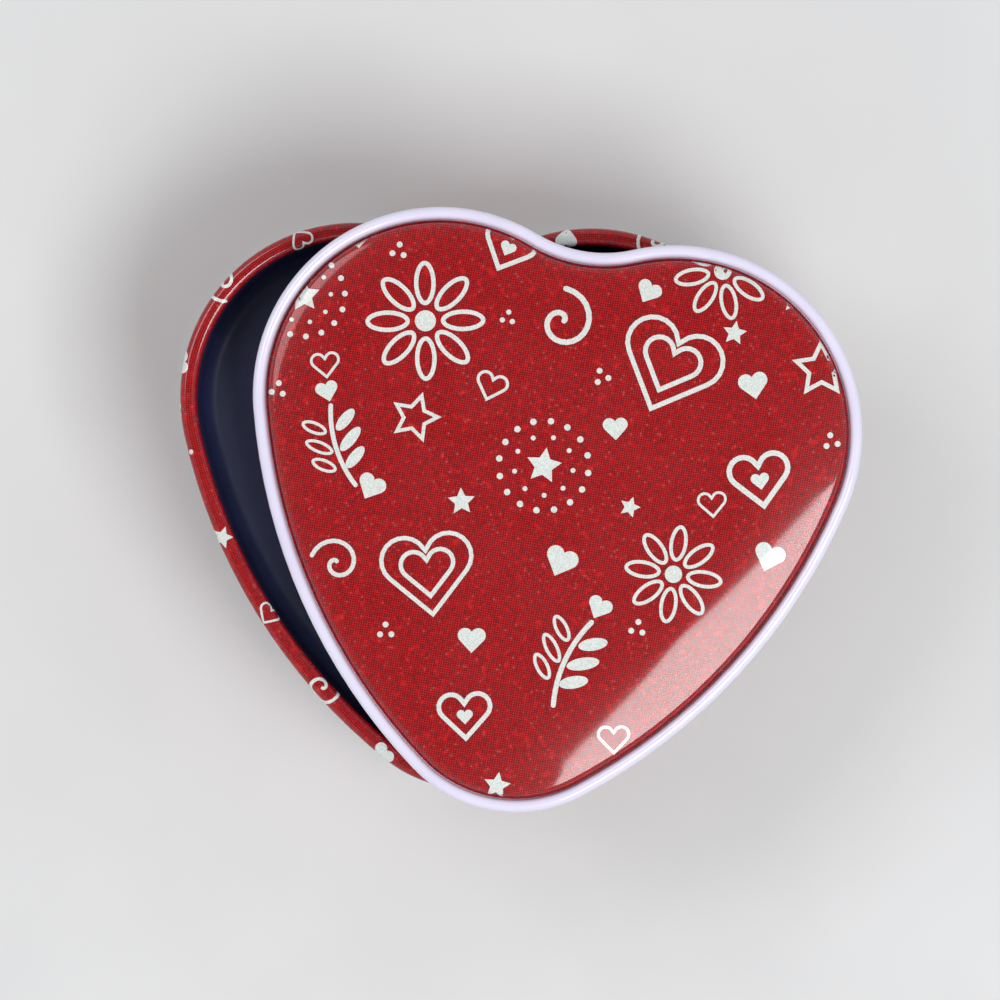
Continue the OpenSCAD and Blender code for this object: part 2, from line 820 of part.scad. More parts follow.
module comb_screws()
    color(steel)
        in_movement()
            for (x = comb_screw_x)
                translate([x, comb_screw_y, comb_z + comb_t])
                    screw(comb_t + screw_grip);

module bass_weights()
    color(zinc)
        in_movement()
            for (note = [0 : weighted_notes - 1])
                let (h = comb_t * (1.3 - note / 10))
                translate([comb_x + note * note_pitch + slot_w, comb_tip_y + air, comb_z - h])
                    cube([note_pitch - 2 * slot_w, weight_l, h]);

// ---- Governor ----

module governor_frame()
    color(brass)
        in_movement()
            difference() {
                union() {
                    translate([foot_x0, foot_y0, bed_t])
                        cube([foot_x1 - foot_x0, foot_y1 - foot_y0, foot_t]);
                    bearing_post(end_plate_x, end_plate_t, second_y, second_z, second_half,
                                 pivot_r);
                    translate([worm_x - arm_post_w / 2, arm_post_y, bed_t])
                        cube([arm_post_w, arm_post_w, arm_top - bed_t]);
                    translate([worm_x - arm_post_w / 2, arm_post_y, arm_top - arm_t])
                        cube([arm_post_w, worm_y + arm_post_w / 2 - arm_post_y, arm_t]);
                }
                for (y = foot_screw_y)
                    translate([foot_screw_x, y])
                        bore(screw_r + play, bed_t, bed_t + foot_t);
                translate([worm_x, worm_y])
                    bore(small_pivot_r + run_fit, bed_t + foot_t, arm_top);
            }

module governor_screws()
    color(steel)
        in_movement()
            for (y = foot_screw_y)
                translate([foot_screw_x, y, bed_t + foot_t])
                    screw(foot_t + bed_t - play);

module second_arbor()
    color(steel)
        in_movement()
            along_x(train_x, second_y, second_z)
                cylinder(r = pivot_r, h = end_plate_x + end_plate_t - train_x);

module second_pinion()
    color(nylon)
        in_movement()
            along_x(train_x, second_y, second_z)
                difference() {
                    linear_extrude(train_w)
                        rotate(second_turn + 180 / second_teeth)
                            gear(second_teeth, train_module);
                    bore(pivot_r, 0, train_w);
                }

module worm_wheel()
    color(nylon)
        in_movement()
            along_x(worm_wheel_x, second_y, second_z)
                difference() {
                    linear_extrude(worm_wheel_w)
                        rotate(180)
                            gear(worm_teeth, worm_module);
                    bore(pivot_r, 0, worm_wheel_w);
                }

// The worm's thread as one closed ribbon; its gap faces the worm wheel's tooth
module worm_thread() {
    steps = 20;
    count = worm_turns * steps;
    root = worm_core_r - play / 2;
    half = worm_module * [0.72, 0.32];
    start_z = second_z - (worm_turns / 2 - 1 / 4) * worm_lead;
    points = [for (i = [0 : count])
        let (a = 360 * i / steps)
        for (c = [[root, -half[0]], [worm_r, -half[1]], [worm_r, half[1]], [root, half[0]]])
            [c[0] * cos(a), c[0] * sin(a), start_z + worm_lead * i / steps + c[1]]];
    polyhedron(points, tube_faces(count, 4));
}

module worm_shaft()
    color(steel)
        in_movement()
            translate([worm_x, worm_y, 0]) {
                translate([0, 0, bed_t + foot_t - over + play])
                    cylinder(r = small_pivot_r, h = arm_top - bed_t - foot_t + over - 2 * play);
                translate([0, 0, second_z - worm_turns * worm_lead / 2])
                    cylinder(r = worm_core_r, h = worm_turns * worm_lead, $fn = 20);
                worm_thread();
            }

module air_brake()
    color(nylon)
        in_movement()
            translate([worm_x, worm_y, 0])
                difference() {
                    union() {
                        translate([0, 0, brake_z0])
                            cylinder(r = brake_hub_r, h = brake_h);
                        translate([-brake_r, -brake_t / 2, brake_z0])
                            cube([2 * brake_r, brake_t, brake_h]);
                    }
                    bore(small_pivot_r, brake_z0, brake_z1);
                }

body_band();
bottom_plate();
inner_tray();
lid_rim();
lid_panel();
bedplate();
bedplate_screws();
drive_wheel();
clutch_spring();
spring_housing();
housing_screws();
mainspring();
winding_arbor();
winding_key();
cylinder_drum();
cylinder_pins();
cylinder_arbor();
cylinder_pinion();
cylinder_wheel();
comb();
comb_screws();
bass_weights();
governor_frame();
governor_screws();
second_arbor();
second_pinion();
worm_wheel();
worm_shaft();
air_brake();
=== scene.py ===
import bpy
from math import atan2, cos, degrees, hypot, pi, radians, sin, sqrt, tan
from mathutils import Euler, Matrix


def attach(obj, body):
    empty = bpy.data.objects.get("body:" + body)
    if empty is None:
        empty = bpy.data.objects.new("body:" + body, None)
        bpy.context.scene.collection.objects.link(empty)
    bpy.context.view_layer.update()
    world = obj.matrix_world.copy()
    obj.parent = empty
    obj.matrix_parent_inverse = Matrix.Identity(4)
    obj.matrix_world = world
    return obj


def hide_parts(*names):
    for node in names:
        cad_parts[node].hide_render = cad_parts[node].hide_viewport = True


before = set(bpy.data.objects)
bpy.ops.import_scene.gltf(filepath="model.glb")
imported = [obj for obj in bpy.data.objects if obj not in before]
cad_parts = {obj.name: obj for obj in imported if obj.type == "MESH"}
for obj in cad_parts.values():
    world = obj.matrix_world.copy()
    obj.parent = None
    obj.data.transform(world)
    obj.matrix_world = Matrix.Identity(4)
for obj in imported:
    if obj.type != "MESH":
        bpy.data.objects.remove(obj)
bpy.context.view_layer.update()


# ---- Body wall ----
# A printed tinplate strip bent into a heart. Its top edge is rolled inwards over itself into a
# fat smooth rim, so that nobody meets a cut edge, and its foot stands in the bottom's seam.
# The print is a red cloth pattern under clear varnish, with the drawings added in white ink.

MM = 0.001
sheet = 0.4
lobe, lobe_r = (22.1, 0), 32.7
tip, tip_r = (0, -48.5), 24.1
flank_r, cleft_r = 107.2, 26.4
body_place = (-8.62013, 20.4011)


def meeting(a, reach_a, b, reach_b):
    """The point at these distances from a and b, on the left of the way from a to b."""
    span = hypot(b[0] - a[0], b[1] - a[1])
    along = (reach_a ** 2 - reach_b ** 2 + span ** 2) / (2 * span)
    across = sqrt(reach_a ** 2 - along ** 2)
    ux, uy = (b[0] - a[0]) / span, (b[1] - a[1]) / span
    return (a[0] + ux * along + uy * across, a[1] + uy * along - ux * across)


flank = meeting(lobe, flank_r - lobe_r, tip, flank_r - tip_r)
cleft = (0, sqrt((cleft_r + lobe_r) ** 2 - lobe[0] ** 2))
flank_low = degrees(atan2(tip[1] - flank[1], tip[0] - flank[0]))
flank_high = degrees(atan2(lobe[1] - flank[1], lobe[0] - flank[0]))
cleft_low = degrees(atan2(lobe[1] - cleft[1], lobe[0] - cleft[0]))

# The four curves of the right half, from the point up to the cleft: centre, radius, which
# way is out, first and last angle, and into how many pieces each is bent
curves = [
    (tip, tip_r, 1, -90, flank_low, 9),
    (flank, flank_r, 1, flank_low, flank_high, 16),
    (lobe, lobe_r, 1, flank_high, cleft_low + 180, 44),
    (cleft, cleft_r, -1, cleft_low, -90, 8)]


def arc(centre, radius, start, end, steps):
    return [(centre[0] + radius * cos(radians(start + (end - start) * i / steps)),
             centre[1] + radius * sin(radians(start + (end - start) * i / steps)))
            for i in range(steps + 1)]


def only(*pieces):
    """Selects these objects and nothing else."""
    bpy.ops.object.select_all(action="DESELECT")
    for piece in pieces:
        piece.select_set(True)
    bpy.context.view_layer.objects.active = pieces[0]


def pick(piece, chosen, mode="VERT"):
    """Selects the vertices, edges or faces that chosen(item) accepts, and goes into edit mode."""
    if bpy.context.mode != "OBJECT":
        bpy.ops.object.mode_set(mode="OBJECT")
    mesh = piece.data
    for kind in (mesh.vertices, mesh.edges, mesh.polygons):
        kind.foreach_set("select", [False] * len(kind))
    items = {"VERT": mesh.vertices, "EDGE": mesh.edges, "FACE": mesh.polygons}[mode]
    for item in items:
        item.select = bool(chosen(item))
    bpy.ops.object.mode_set(mode="EDIT")
    bpy.ops.mesh.select_mode(type=mode)


def settle(piece, place=(0, 0, 0), turn=0):
    """Puts a finished piece where it belongs and writes the place into its mesh."""
    if bpy.context.mode != "OBJECT":
        bpy.ops.object.mode_set(mode="OBJECT")
    only(piece)
    piece.location = [v * MM for v in place]
    piece.rotation_euler = (0, 0, radians(turn))
    bpy.ops.object.transform_apply(location=True, rotation=True, scale=True)


def finish_with(piece, kind, **settings):
    """Adds a modifier with these settings and applies it."""
    only(piece)
    for side in range(2 if "material_offset" in settings else 0):
        piece.data.materials.append(None)
    modifier = piece.modifiers.new(kind.title(), kind)
    for name, value in settings.items():
        setattr(modifier, name, value)
    bpy.ops.object.modifier_apply(modifier=modifier.name)


def drawn_line(name, points):
    """A line of edges through (x, y, z) points in millimetres, drawn one corner at a time."""
    bpy.ops.object.select_all(action="DESELECT")
    bpy.ops.mesh.primitive_plane_add(size=MM, location=[v * MM for v in points[0]])
    piece = bpy.context.object
    piece.name = piece.data.name = name
    bpy.ops.object.transform_apply(location=True, rotation=True, scale=True)
    bpy.ops.object.mode_set(mode="EDIT")
    bpy.ops.mesh.select_all(action="SELECT")
    bpy.ops.mesh.merge(type="CENTER")
    for a, b in zip(points, points[1:]):
        step = [(q - p) * MM for p, q in zip(a, b)]
        bpy.ops.mesh.extrude_region_move(TRANSFORM_OT_translate={"value": step})
    return piece


def heart_sheet(name, section, filled=False, upwards=False):
    """A sheet whose section, as (out, up) corners, is carried all round the heart.
    filled closes the inner edge with a flat floor."""
    low = tip[1] - tip_r
    piece = drawn_line(name, [(0, low - out, up) for out, up in section])
    bpy.ops.mesh.select_all(action="SELECT")
    for centre, radius, side, start, end, steps in curves:
        bpy.ops.mesh.spin(steps=steps, angle=radians(start - end), axis=(0, 0, 1),
                          center=(centre[0] * MM, centre[1] * MM, 0))
    bpy.ops.object.mode_set(mode="OBJECT")
    finish_with(piece, "MIRROR", use_axis=(True, False, False), use_clip=False,
                use_mirror_merge=True, merge_threshold=0.00001)
    pick(piece, lambda v: True)
    bpy.ops.mesh.remove_doubles(threshold=0.000005)
    if filled:
        inner_z, inner_out = section[-1][1] * MM, section[-1][0]
        pick(piece, lambda v: abs(v.co.z - inner_z) < 1e-6
             and abs(wall_at(v.co.x / MM, v.co.y / MM)[0] - inner_out) < 0.05)
        bpy.ops.mesh.edge_face_add()
    bpy.ops.mesh.select_all(action="SELECT")
    bpy.ops.mesh.normals_make_consistent(inside=False)
    bpy.ops.object.mode_set(mode="OBJECT")
    if upwards:
        lean = sum(f.normal.z * f.area for f in piece.data.polygons)
    else:
        lean = sum((f.normal.x * f.center.x + f.normal.y * f.center.y) * f.area
                   for f in piece.data.polygons)
    if lean < 0:
        bpy.ops.object.mode_set(mode="EDIT")
        bpy.ops.mesh.flip_normals()
        bpy.ops.object.mode_set(mode="OBJECT")
    return piece


def wall_at(x, y):
    """Where a point lies against the heart's wall line: how far outside it (negative inside),
    how far round it from the point of the heart (negative on the left), and which way is out."""
    run, found = 0, (-40, 0, (1, 0))
    for (cx, cy), radius, side, start, end, steps in curves:
        dx, dy = abs(x) - cx, y - cy
        away = degrees(atan2(dy, dx))
        gap = side * (hypot(dx, dy) - radius)
        if min(start, end) - 0.01 <= away <= max(start, end) + 0.01 and gap > found[0]:
            size = side * hypot(dx, dy)
            found = (gap, run + abs(radians(away - start)) * radius, (dx / size, dy / size))
        run += abs(radians(end - start)) * radius
    gap, run, (ox, oy) = found
    return (gap, run, (ox, oy)) if x >= 0 else (gap, -run, (-ox, oy))


half_round = sum(abs(radians(end - start)) * radius for c, radius, s, start, end, n in curves)
# The rim's roll: where it starts, its radius, and how far in its inner half is centred
shoulder_z, curl, roll_in = 44.8, 1.2, 2
wall_section = (
    [(0, 0.5), (0, 16), (0, 31)]
    + arc((-curl, shoulder_z), curl, 0, 90, 8)
    + arc((-roll_in, shoulder_z), curl, 90, 270, 14)
    + [(-1.1, shoulder_z - curl)])
flat_end = shoulder_z + curl * pi / 2 + roll_in - curl
wall = heart_sheet("printed_wall", wall_section)


def up_the_sheet(out, z):
    """How far up the flat sheet a place on the wall's section came from."""
    if z < shoulder_z and out > -0.6:
        return z
    if out > -curl:
        return shoulder_z + curl * atan2(z - shoulder_z, out + curl)
    if out > -roll_in and z > shoulder_z:
        return flat_end - roll_in - out
    turn = atan2(z - shoulder_z, out + roll_in) % (2 * pi)
    return flat_end + curl * (turn - pi / 2)


# A map of the sheet as it lay flat before it was bent, in millimetres
flat_map = wall.data.uv_layers.new(name="flat_sheet")
for face in wall.data.polygons:
    left = face.center.x < 0
    for loop, v in zip(face.loop_indices, face.vertices):
        co = wall.data.vertices[v].co
        gap, run, way = wall_at(co.x / MM, co.y / MM)
        run = -abs(run) if left else abs(run)
        flat_map.data[loop].uv = (run, up_the_sheet(gap, co.z / MM))

finish_with(wall, "SOLIDIFY", thickness=sheet * MM, offset=-1, use_even_offset=True,
            material_offset=1)
bpy.ops.object.shade_smooth_by_angle(angle=radians(40))
settle(wall, (*body_place, 0))


def colour(red, green, blue):
    """A colour given as it is seen, 0 to 255, in the renderer's own scale."""
    return tuple((c / 255 / 12.92) if c <= 10 else ((c / 255 + 0.055) / 1.055) ** 2.4
                 for c in (red, green, blue)) + (1,)


def fill_in(tree, node, inputs):
    """Sets a node's inputs to values, or joins them to other nodes' outputs."""
    for name, value in inputs.items():
        if isinstance(value, bpy.types.NodeSocket):
            tree.links.new(value, node.inputs[name])
        else:
            node.inputs[name].default_value = value


def add(tree, kind, inputs=None, **settings):
    """A node with its settings and inputs."""
    made = tree.nodes.new("ShaderNode" + kind)
    for name, value in settings.items():
        setattr(made, name, value)
    fill_in(tree, made, inputs or {})
    return made


def calc(tree, operation, a, b=0.0, c=0.0):
    """One step of arithmetic on numbers or on other nodes' outputs."""
    return add(tree, "Math", {0: a, 1: b, 2: c}, operation=operation).outputs[0]


def blend(tree, amount, a, b):
    """Colour a turned into colour b by amount."""
    return add(tree, "Mix", {0: amount, 6: a, 7: b}, data_type="RGBA").outputs[2]


def ramp(tree, value, low, high, start=0.0, end=1.0):
    """A number carried smoothly from start to end as value goes from low to high."""
    return add(tree, "MapRange", {"Value": value, "From Min": low, "From Max": high,
                                  "To Min": start, "To Max": end},
               interpolation_type="SMOOTHSTEP").outputs[0]


def new_group(name, inputs, outputs):
    """An empty node group: its tree, its inputs and its outputs."""
    tree = bpy.data.node_groups.new(name, "ShaderNodeTree")
    for direction, sockets in (("INPUT", inputs), ("OUTPUT", outputs)):
        for title, kind in sockets.items():
            tree.interface.new_socket(title, in_out=direction, socket_type="NodeSocket" + kind)
    enter = tree.nodes.new("NodeGroupInput")
    leave = tree.nodes.new("NodeGroupOutput")
    return tree, enter.outputs, leave.inputs


def placed(tree, group, inputs):
    """A group put into a material, with this material's own values."""
    made = tree.nodes.new("ShaderNodeGroup")
    made.node_tree = group
    fill_in(tree, made, inputs)
    return made.outputs


def new_material(name, **shader):
    """A material, its tree, its shader, and its place on the object in millimetres."""
    made = bpy.data.materials.new(name)
    made.use_nodes = True
    tree = made.node_tree
    skin = tree.nodes["Principled BSDF"]
    for title, value in shader.items():
        skin.inputs[title.replace("_", " ").title().replace("Ior", "IOR")].default_value = value
    where = add(tree, "TexCoord").outputs["Object"]
    spot = add(tree, "VectorMath", {0: where, 3: 1000.0}, operation="SCALE").outputs[0]
    return made, tree, skin, spot


def bumped(tree, skin, height, depth):
    """Joins a height, over depth millimetres, to the shader as a bump."""
    bump = add(tree, "Bump", {"Height": height, "Distance": depth * MM, "Strength": 1.0})
    tree.links.new(bump.outputs[0], skin.inputs["Normal"])


def dressed(piece, finish, lining=None):
    """Gives the piece this material all over, or a lining of its own on a sheet's back."""
    for place, material in enumerate([finish] if lining is None else [finish, lining]):
        if len(piece.data.materials) <= place:
            piece.data.materials.append(material)
        piece.data.materials[place] = material


# Soft unevenness at one scale, as a number from low to high
uneven, given, out = new_group(
    "uneven", {"Place": "Vector", "Size": "Float", "Low": "Float", "High": "Float"},
    {"Value": "Float"})
specks = add(uneven, "TexNoise", {"Vector": given["Place"], "Detail": 3.0,
                                  "Scale": calc(uneven, "DIVIDE", 1.0, given["Size"])})
uneven.links.new(ramp(uneven, specks.outputs["Fac"], 0.3, 0.7, given["Low"], given["High"]),
                 out["Value"])



def varied(tree, place, size, low=0.0, high=1.0):
    """Soft unevenness of this size in millimetres, put into a material."""
    return placed(tree, uneven, {"Place": place, "Size": size, "Low": low, "High": high})[0]


# The printed cloth: rows of threads between dark gaps, some knots paler, and bright blotches
cloth, given, out = new_group(
    "printed_cloth", {"Place": "Vector", "Thread": "Float"},
    {"Color": "Color", "Weave": "Float"})
parts = add(cloth, "SeparateXYZ", {0: given["Place"]}).outputs
across = [calc(cloth, "DIVIDE", part, given["Thread"]) for part in (parts[0], parts[1])]
waves = [calc(cloth, "ABSOLUTE", calc(cloth, "SINE", calc(cloth, "MULTIPLY", step, pi)))
         for step in across]
weave = calc(cloth, "MULTIPLY", waves[0], waves[1])
cell = add(cloth, "CombineXYZ", {0: calc(cloth, "FLOOR", across[0]),
                                 1: calc(cloth, "FLOOR", across[1])}).outputs[0]
luck = add(cloth, "TexWhiteNoise", {"Vector": cell}, noise_dimensions="2D").outputs["Value"]
lines = [add(cloth, "TexWhiteNoise", {"W": calc(cloth, "FLOOR", step)},
             noise_dimensions="1D").outputs["Value"] for step in across]
slub = calc(cloth, "MULTIPLY", lines[0], lines[1])
blotch = add(cloth, "TexNoise", {"Vector": given["Place"], "Scale": 0.62, "Detail": 3.0,
                                 "Roughness": 0.6}).outputs["Fac"]
shade = blend(cloth, ramp(cloth, weave, 0.0, 0.75), colour(98, 8, 13), colour(192, 25, 30))
shade = blend(cloth, ramp(cloth, luck, 0.0, 0.5, 0.5, 0.0), shade, colour(104, 12, 17))
shade = blend(cloth, ramp(cloth, slub, 0.4, 0.95, 0.0, 0.4), shade, colour(120, 14, 20))
shade = blend(cloth, ramp(cloth, luck, 0.96, 1.0, 0.0, 0.35), shade, colour(204, 92, 88))
shade = blend(cloth, ramp(cloth, blotch, 0.55, 0.7, 0.0, 0.5), shade, colour(214, 28, 32))
cloth.links.new(shade, out["Color"])
cloth.links.new(weave, out["Weave"])

wall_print, tree, skin, spot = new_material(
    "printed_red", roughness=0.38, specular_ior_level=0.12, coat_weight=1.0,
    coat_roughness=0.06)
flat = add(tree, "UVMap", uv_map="flat_sheet").outputs[0]
pattern = placed(tree, cloth, {"Place": flat, "Thread": 0.44})
tree.links.new(pattern["Color"], skin.inputs["Base Color"])
tree.links.new(varied(tree, spot, 9.0, 0.3, 0.4), skin.inputs["Roughness"])
bumped(tree, skin, pattern["Weave"], 0.004)
bare, tree, skin, back_spot = new_material("sheet_back", metallic=1.0)
cast = varied(tree, back_spot, 3.0)
tree.links.new(blend(tree, cast, colour(190, 190, 187), colour(199, 198, 195)),
               skin.inputs["Base Color"])
tree.links.new(ramp(tree, cast, 0, 1, 0.31, 0.35), skin.inputs["Roughness"])
dressed(wall, wall_print, bare)
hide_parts("body_band")
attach(wall, "case")

# The white drawings: each is drawn once, flat and at its real size, and then copied about

stroke, ink_film = 0.85, 0.08


def filled(corners):
    """A flat filled shape with these corners."""
    bpy.ops.object.select_all(action="DESELECT")
    bpy.ops.mesh.primitive_circle_add(vertices=len(corners), radius=MM, fill_type="NGON")
    piece = bpy.context.object
    for v, (x, y) in zip(piece.data.vertices, corners):
        v.co = (x * MM, y * MM, 0)
    pick(piece, lambda f: True, "FACE")
    bpy.ops.object.mode_set(mode="OBJECT")
    if piece.data.polygons[0].normal.z < 0:
        bpy.ops.object.mode_set(mode="EDIT")
        bpy.ops.mesh.flip_normals()
        bpy.ops.object.mode_set(mode="OBJECT")
    return piece


def outlined(corners, width=stroke):
    """Only a line of this width along the inside of a shape's edge."""
    piece = filled(corners)
    pick(piece, lambda f: True, "FACE")
    bpy.ops.mesh.inset(thickness=width * MM, use_boundary=True)
    bpy.ops.mesh.delete(type="FACE")
    bpy.ops.object.mode_set(mode="OBJECT")
    return piece


def brushed(line, width=stroke):
    """A brush line of even width with round ends, through these points."""
    ways = [atan2(b[1] - a[1], b[0] - a[0])
            for a, b in zip([line[0]] + line[:-1], line[1:] + [line[-1]])]
    reach = width / 2
    left = [(x - reach * sin(w), y + reach * cos(w)) for (x, y), w in zip(line, ways)]
    right = [(x + reach * sin(w), y - reach * cos(w)) for (x, y), w in zip(line, ways)]
    first, last = degrees(ways[0]), degrees(ways[-1])
    return filled(arc(line[0], reach, first + 270, first + 90, 5) + left[1:-1]
                  + arc(line[-1], reach, last + 90, last - 90, 5) + right[-2:0:-1])


def heart_line(size, x=0.0, y=0.0):
    """Two straight sides up from the point, and two round lobes that meet in a notch."""
    right = arc((x + 0.47 * size, y + 0.3 * size), 0.53 * size, -44, 152.5, 11)
    left = [(2 * x - px, py) for px, py in right[-2::-1]]
    return [(x, y - 0.95 * size)] + right + left


def oval(x, y, long, wide, turn=0.0, corners=24):
    b = radians(turn)
    around = arc((0, 0), 1, 0, 360 - 360 / corners, corners - 1)
    return [(x + long * u * cos(b) - wide * v * sin(b), y + long * u * sin(b) + wide * v * cos(b))
            for u, v in around]


def star_line(size, waist, points=5):
    return [((size if i % 2 == 0 else size * waist) * sin(pi * i / points),
             (size if i % 2 == 0 else size * waist) * cos(pi * i / points))
            for i in range(2 * points)]


def joined(name, pieces):
    only(*pieces)
    bpy.ops.object.join()
    whole = bpy.context.object
    whole.name = whole.data.name = name
    return whole


def dots(count, reach, size, turn=0.0):
    return [filled(oval(reach * cos(radians(turn + 360 * i / count)),
                        reach * sin(radians(turn + 360 * i / count)), size, size, 0, 14))
            for i in range(count)]


def daisy():
    petals = [outlined(oval(6.1 * cos(radians(a)), 6.1 * sin(radians(a)), 3.6, 1.75, a, 30), 0.7)
              for a in range(0, 360, 45)]
    return joined("daisy", petals + [filled(oval(0, 0, 1.7, 1.7))])


def double_heart():
    return joined("double_heart", [outlined(heart_line(8.8), 0.8),
                                   outlined(heart_line(5.3, 0, 0.1), 0.8)])


def dotted_ring():
    return joined("dotted_ring", dots(16, 7.6, 0.55) + dots(9, 5.0, 0.42)
                  + [filled(star_line(3.1, 0.5))])


def sprig():
    leaves = []
    for y, long in ((-5.4, 2.5), (-1.9, 2.8), (1.8, 2.5)):
        leaves.append(filled(oval(3.0, y + 1.8, long, 1.05, 36)))
        leaves.append(outlined(oval(-2.95, y + 1.8, long, 1.15, 144), 0.55))
    return joined("sprig", [brushed(arc((22, 0), 22, 203, 162, 12))] + leaves
                  + [filled(heart_line(2.1, 1.1, 9.6))])


def swirl():
    return brushed([((0.35 + 0.011 * t) * cos(radians(t)), (0.35 + 0.011 * t) * sin(radians(t)))
                    for t in range(0, 440, 16)])


def small_heart():
    return filled(heart_line(2.9))


def open_heart():
    return joined("open_heart", [outlined(heart_line(5.2)), filled(heart_line(1.5, 0, -0.3))])


def little_heart():
    return outlined(heart_line(3.1), 0.55)


def star():
    return filled(star_line(2.9, 0.48))


def open_star():
    return outlined(star_line(5.2, 0.5), 0.7)


def trio():
    return joined("trio", dots(3, 1.35, 0.62, 90))


drawings = {maker.__name__: maker() for maker in (
    daisy, double_heart, dotted_ring, sprig, swirl, small_heart, open_heart, little_heart,
    star, open_star, trio)}


def printed(name, layout, lay, bent):
    """Copies the drawings to their places, (which, x, y, turn, size), lays them on the sheet
    with lay(x, y), in small pieces where it is bent(x, y), and gives the ink its body: a film
    standing just proud of the print."""
    copies = []
    for kind, x, y, turn, size in layout:
        copy = bpy.data.objects.new(kind, drawings[kind].data.copy())
        bpy.context.collection.objects.link(copy)
        copy.scale = (size, size, 1)
        settle(copy, (x, y, 0), turn)
        copies.append(copy)
    ink = joined(name, copies)
    pick(ink, lambda f: True, "FACE")
    bpy.ops.mesh.quads_convert_to_tris()
    bpy.ops.mesh.select_all(action="DESELECT")
    bpy.ops.object.mode_set(mode="OBJECT")
    for longest in (2.4, 1.2, 0.9, 0.5, 0.4):
        points = ink.data.vertices
        pick(ink, lambda e: (points[e.vertices[0]].co - points[e.vertices[1]].co).length
             > longest * MM and (longest > 0.6 or bent(*[
                 c / MM for c in points[e.vertices[0]].co[:2]])), "EDGE")
        bpy.ops.mesh.subdivide(number_cuts=1)
        bpy.ops.object.mode_set(mode="OBJECT")
    for v in ink.data.vertices:
        v.co = [c * MM for c in lay(v.co.x / MM, v.co.y / MM)]
    pick(ink, lambda v: True)
    bpy.ops.mesh.dissolve_degenerate(threshold=0.00002)
    bpy.ops.object.mode_set(mode="OBJECT")
    finish_with(ink, "SOLIDIFY", thickness=ink_film * MM, offset=0.1)
    bpy.ops.object.shade_smooth_by_angle(angle=radians(50))
    return ink


# The drawings stop just above the bottom seam, and where the roll turns out of sight
ink_low, ink_high = 2.75, 49.2


def on_wall(run, up):
    """Carries a spot of the flat sheet to its place on the bent wall."""
    up = min(max(up, ink_low), ink_high)
    over = (up - shoulder_z) / curl
    if over <= 0:
        out, z = 0, up
    elif over <= pi / 2:
        out, z = -curl + curl * cos(over), shoulder_z + curl * sin(over)
    elif up <= flat_end:
        out, z = flat_end - roll_in - up, shoulder_z + curl
    else:
        over = (up - shoulder_z - roll_in + curl) / curl
        out, z = -roll_in + curl * cos(over), shoulder_z + curl * sin(over)
    run = (run + half_round) % (2 * half_round) - half_round
    left = abs(run)
    for (cx, cy), radius, side, start, end, steps in curves:
        length = abs(radians(end - start)) * radius
        if left <= length or (cx, cy) == cleft:
            angle = radians(start + (end - start) * min(left / length, 1))
            break
        left -= length
    reach = radius + side * out
    x, y = cx + reach * cos(angle), cy + reach * sin(angle)
    return (x if run >= 0 else -x), y, z


wall_layout = []
large = ("daisy", "open_heart", "dotted_ring", "double_heart", "sprig", "open_star")
small = ("small_heart", "trio", "star", "little_heart", "swirl")
columns = 20
for column in range(columns):
    run = -half_round + (column + 0.5) * 2 * half_round / columns
    lean = 25 * sin(2.3 * column)
    upper = 33 + 2.5 * sin(1.7 * column)
    wall_layout.append((large[column % 6], run, upper if column % 2 else 14, lean, 0.86))
    wall_layout.append((large[(column * 5 + 2) % 6], run + 1.5 * sin(column),
                        9.5 if column % 2 else 37, -lean, 0.74))
    wall_layout.append((small[column % 5], run + 8.5, 23.5 + cos(2.1 * column), lean, 0.8))
    wall_layout.append((small[(column + 2) % 5], run + 8.6, 46 + 1.5 * cos(column), lean, 0.75))
wall_ink = printed("wall_drawings", wall_layout, on_wall, lambda run, up: up > 44)
settle(wall_ink, (*body_place, 0))

white_ink, tree, skin, spot = new_material(
    "white_ink", roughness=0.4, coat_weight=1.0, coat_roughness=0.045)
grain = varied(tree, spot, 0.26)
tree.links.new(blend(tree, grain, colour(196, 205, 200), colour(228, 234, 231)),
               skin.inputs["Base Color"])
bumped(tree, skin, grain, 0.003)
dressed(wall_ink, white_ink)
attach(wall_ink, "case")


# ---- Bottom ----
# Bare tinplate pressed into a deep recess, so that the box can stand with its key under it.
# Its edge is folded up round the foot of the wall and squeezed shut as a seam, and the
# movement is screwed down on it through three holes.

foot_r, recess, seam_h, recess_r = 0.6, 12, 2.6, 0.8
arbor_at = (-19.6201, 5.40109)
arbor_hole, screw_hole = 2.6, 1.1
bed_screws_at = ((-34.92, -16.57), (-34.92, 20.3), (-6.52, 31.2))
bottom_section = (
    [(0.5, seam_h), (0.5, 1.6)]
    + arc((0.5 - foot_r, foot_r), foot_r, 0, -90, 7)
    + arc((foot_r - 0.9, foot_r), foot_r, -90, -180, 7)
    + arc((-0.9 - recess_r, recess - recess_r), recess_r, 0, 90, 6))
bottom = heart_sheet("bottom_plate_pressed", bottom_section, filled=True, upwards=True)
finish_with(bottom, "SOLIDIFY", thickness=sheet * MM, offset=1, use_even_offset=True)
settle(bottom, (*body_place, 0))
punches = []
for (x, y), reach in [(arbor_at, arbor_hole)] + [(p, screw_hole) for p in bed_screws_at]:
    bpy.ops.object.select_all(action="DESELECT")
    bpy.ops.mesh.primitive_cylinder_add(
        vertices=40, radius=reach * MM, depth=3 * MM,
        location=(x * MM, y * MM, (recess + sheet / 2) * MM))
    punches.append(bpy.context.object)
only(*punches)
bpy.ops.object.join()
punch = bpy.context.object
finish_with(bottom, "BOOLEAN", object=punch, operation="DIFFERENCE", solver="EXACT")
bpy.data.objects.remove(punch)
only(bottom)
bpy.ops.object.shade_smooth_by_angle(angle=radians(35))

